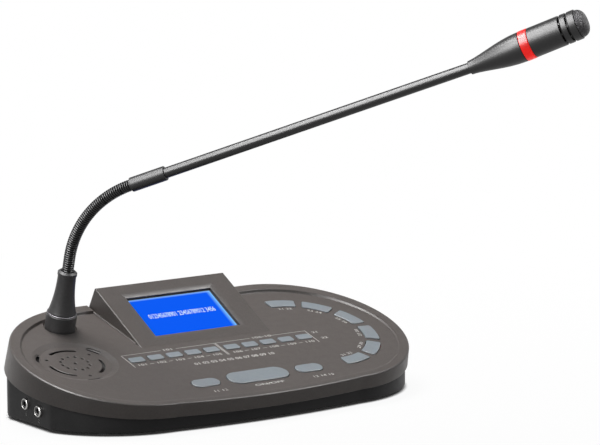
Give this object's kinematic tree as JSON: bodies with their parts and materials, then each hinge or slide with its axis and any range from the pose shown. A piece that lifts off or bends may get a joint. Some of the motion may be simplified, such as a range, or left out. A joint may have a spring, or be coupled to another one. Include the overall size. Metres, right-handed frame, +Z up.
{
  "type": "desk gooseneck microphone",
  "caption": "Sloping desk console with a gooseneck microphone, a raised display, a loudspeaker grille, rows and an arc of push keys, and headset jacks on its left end.",
  "frame": {"origin": "middle of the base tray's flat underside; the rubber feet stand 1.7 mm below it", "axes": "+Z up, square to the desk; +Y to the console's back; +X to the console's right as its user sees it"},
  "size_m": [0.293, 0.3102, 0.2712],
  "materials": {
    "moulded_abs": "fine moulded texture, warm mid grey",
    "painted_steel": "satin black paint",
    "key_plastic": "satin, cool light grey",
    "rubber": "matt black",
    "plated_steel": "zinc plated",
    "chrome": "bright",
    "circuit_board": "green solder mask",
    "lit_panel": "blue lit panel behind clear glass",
    "black_plastic": "matt black",
    "black_gooseneck": "black painted steel winding",
    "dark_tube": "dark glossy lacquer on steel tube",
    "dark_anodised": "dark grey satin anodised",
    "red_diffuser": "translucent red, lit from inside",
    "grille_steel": "fine woven mesh, dark grey",
    "cone_paper": "black pulp paper"
  },
  "bodies": {
    "console": {"base_tray": "painted_steel", "bus_socket": "black_plastic", "case_screw_1": "plated_steel", "case_screw_2": "plated_steel", "case_screw_3": "plated_steel", "case_screw_4": "plated_steel", "rubber_foot_1": "rubber", "rubber_foot_2": "rubber", "rubber_foot_3": "rubber", "rubber_foot_4": "rubber", "headphone_jack": "black_plastic", "headphone_jack_nut": "chrome", "headset_microphone_jack": "black_plastic", "headset_microphone_jack_nut": "chrome", "top_shell": "moulded_abs", "display_hood": "moulded_abs", "display_frame": "black_plastic", "display_panel": "lit_panel", "display_board": "circuit_board", "keypad_mat": "rubber", "main_board": "circuit_board", "speaker_frame": "plated_steel", "speaker_cone": "cone_paper", "speaker_magnet": "black_plastic", "neck_collar": "dark_anodised", "neck_nut": "plated_steel", "boot_ring": "chrome", "neck_boot": "dark_anodised"},
    "key_1": {"channel_key_1": "key_plastic"},
    "key_2": {"channel_key_2": "key_plastic"},
    "key_3": {"channel_key_3": "key_plastic"},
    "key_4": {"channel_key_4": "key_plastic"},
    "key_5": {"channel_key_5": "key_plastic"},
    "key_6": {"channel_key_6": "key_plastic"},
    "key_7": {"channel_key_7": "key_plastic"},
    "key_8": {"channel_key_8": "key_plastic"},
    "key_9": {"channel_key_9": "key_plastic"},
    "key_10": {"channel_key_10": "key_plastic"},
    "talk": {"talk_key": "key_plastic"},
    "left_oval": {"left_oval_key": "key_plastic"},
    "right_oval": {"right_oval_key": "key_plastic"},
    "arc_1": {"arc_key_1": "key_plastic"},
    "arc_2": {"arc_key_2": "key_plastic"},
    "arc_3": {"arc_key_3": "key_plastic"},
    "arc_4": {"arc_key_4": "key_plastic"},
    "arc_5": {"arc_key_5": "key_plastic"},
    "arc_6": {"arc_key_6": "key_plastic"},
    "neck_1": {"neck_segment_1": "black_gooseneck"},
    "neck_2": {"neck_segment_2": "black_gooseneck"},
    "neck_3": {"neck_segment_3": "black_gooseneck"},
    "neck_4": {"neck_segment_4": "black_gooseneck"},
    "neck_5": {"neck_segment_5": "black_gooseneck"},
    "neck_6": {"neck_segment_6": "black_gooseneck"},
    "microphone": {"neck_ferrule": "dark_anodised", "stem_tube": "dark_tube", "head_cone": "dark_anodised", "light_ring": "red_diffuser", "head_barrel": "dark_anodised", "grille_cap": "grille_steel", "capsule": "plated_steel"}
  },
  "joints": [
    {"name": "key_1_press", "type": "slide", "parent": "console", "child": "key_1", "axis": [0, 0.2689, -0.9632], "range_m": [0, 0.0008], "stiffness_N_per_m": 2000},
    {"name": "key_2_press", "type": "slide", "parent": "console", "child": "key_2", "axis": [0, 0.2689, -0.9632], "range_m": [0, 0.0008], "stiffness_N_per_m": 2000},
    {"name": "key_3_press", "type": "slide", "parent": "console", "child": "key_3", "axis": [0, 0.2689, -0.9632], "range_m": [0, 0.0008], "stiffness_N_per_m": 2000},
    {"name": "key_4_press", "type": "slide", "parent": "console", "child": "key_4", "axis": [0, 0.2689, -0.9632], "range_m": [0, 0.0008], "stiffness_N_per_m": 2000},
    {"name": "key_5_press", "type": "slide", "parent": "console", "child": "key_5", "axis": [0, 0.2689, -0.9632], "range_m": [0, 0.0008], "stiffness_N_per_m": 2000},
    {"name": "key_6_press", "type": "slide", "parent": "console", "child": "key_6", "axis": [0, 0.2689, -0.9632], "range_m": [0, 0.0008], "stiffness_N_per_m": 2000},
    {"name": "key_7_press", "type": "slide", "parent": "console", "child": "key_7", "axis": [0, 0.2689, -0.9632], "range_m": [0, 0.0008], "stiffness_N_per_m": 2000},
    {"name": "key_8_press", "type": "slide", "parent": "console", "child": "key_8", "axis": [0, 0.2689, -0.9632], "range_m": [0, 0.0008], "stiffness_N_per_m": 2000},
    {"name": "key_9_press", "type": "slide", "parent": "console", "child": "key_9", "axis": [0, 0.2689, -0.9632], "range_m": [0, 0.0008], "stiffness_N_per_m": 2000},
    {"name": "key_10_press", "type": "slide", "parent": "console", "child": "key_10", "axis": [0, 0.2689, -0.9632], "range_m": [0, 0.0008], "stiffness_N_per_m": 2000},
    {"name": "talk_press", "type": "slide", "parent": "console", "child": "talk", "axis": [0, 0.2689, -0.9632], "range_m": [0, 0.0008], "stiffness_N_per_m": 2500},
    {"name": "left_oval_press", "type": "slide", "parent": "console", "child": "left_oval", "axis": [0, 0.2689, -0.9632], "range_m": [0, 0.0008], "stiffness_N_per_m": 2000},
    {"name": "right_oval_press", "type": "slide", "parent": "console", "child": "right_oval", "axis": [0, 0.2689, -0.9632], "range_m": [0, 0.0008], "stiffness_N_per_m": 2000},
    {"name": "arc_1_press", "type": "slide", "parent": "console", "child": "arc_1", "axis": [0, 0.2689, -0.9632], "range_m": [0, 0.0008], "stiffness_N_per_m": 2000},
    {"name": "arc_2_press", "type": "slide", "parent": "console", "child": "arc_2", "axis": [0, 0.2689, -0.9632], "range_m": [0, 0.0008], "stiffness_N_per_m": 2000},
    {"name": "arc_3_press", "type": "slide", "parent": "console", "child": "arc_3", "axis": [0, 0.2689, -0.9632], "range_m": [0, 0.0008], "stiffness_N_per_m": 2000},
    {"name": "arc_4_press", "type": "slide", "parent": "console", "child": "arc_4", "axis": [0, 0.2689, -0.9632], "range_m": [0, 0.0008], "stiffness_N_per_m": 2000},
    {"name": "arc_5_press", "type": "slide", "parent": "console", "child": "arc_5", "axis": [0, 0.2689, -0.9632], "range_m": [0, 0.0008], "stiffness_N_per_m": 2000},
    {"name": "arc_6_press", "type": "slide", "parent": "console", "child": "arc_6", "axis": [0, 0.2689, -0.9632], "range_m": [0, 0.0008], "stiffness_N_per_m": 2000},
    {"name": "neck_bend_1", "type": "hinge", "parent": "console", "child": "neck_1", "pos_m": [-0.089, 0.03964, 0.08929], "axis": [0.6947, 0.6928, 0.1934], "range_deg": [-18, 6]},
    {"name": "neck_turn_1", "type": "hinge", "parent": "neck_1", "child": "neck_2", "pos_m": [-0.08893, 0.03598, 0.10212], "axis": [0.7183, -0.6537, -0.2382], "range_deg": [-15, 15]},
    {"name": "neck_bend_2", "type": "hinge", "parent": "neck_2", "child": "neck_3", "pos_m": [-0.0875, 0.03111, 0.11443], "axis": [0.6947, 0.6928, 0.1934], "range_deg": [-18, 6]},
    {"name": "neck_turn_2", "type": "hinge", "parent": "neck_3", "child": "neck_4", "pos_m": [-0.08428, 0.02475, 0.12567], "axis": [0.6513, -0.4915, -0.5782], "range_deg": [-15, 15]},
    {"name": "neck_bend_3", "type": "hinge", "parent": "neck_4", "child": "neck_5", "pos_m": [-0.0794, 0.01713, 0.13544], "axis": [0.6947, 0.6928, 0.1934], "range_deg": [-18, 6]},
    {"name": "neck_turn_3", "type": "hinge", "parent": "neck_5", "child": "neck_6", "pos_m": [-0.07303, 0.00853, 0.14337], "axis": [0.4889, -0.2575, -0.8335], "range_deg": [-15, 15]},
    {"name": "neck_bend_4", "type": "hinge", "parent": "neck_6", "child": "microphone", "pos_m": [-0.06541, -0.00073, 0.14916], "axis": [0.6947, 0.6928, 0.1934], "range_deg": [-18, 6]}
  ],
  "couplings": [
    {"joint": "neck_bend_2", "follows": "neck_bend_1", "ratio": 1},
    {"joint": "neck_bend_3", "follows": "neck_bend_1", "ratio": 1},
    {"joint": "neck_bend_4", "follows": "neck_bend_1", "ratio": 1},
    {"joint": "neck_turn_2", "follows": "neck_turn_1", "ratio": 1},
    {"joint": "neck_turn_3", "follows": "neck_turn_1", "ratio": 1}
  ]
}
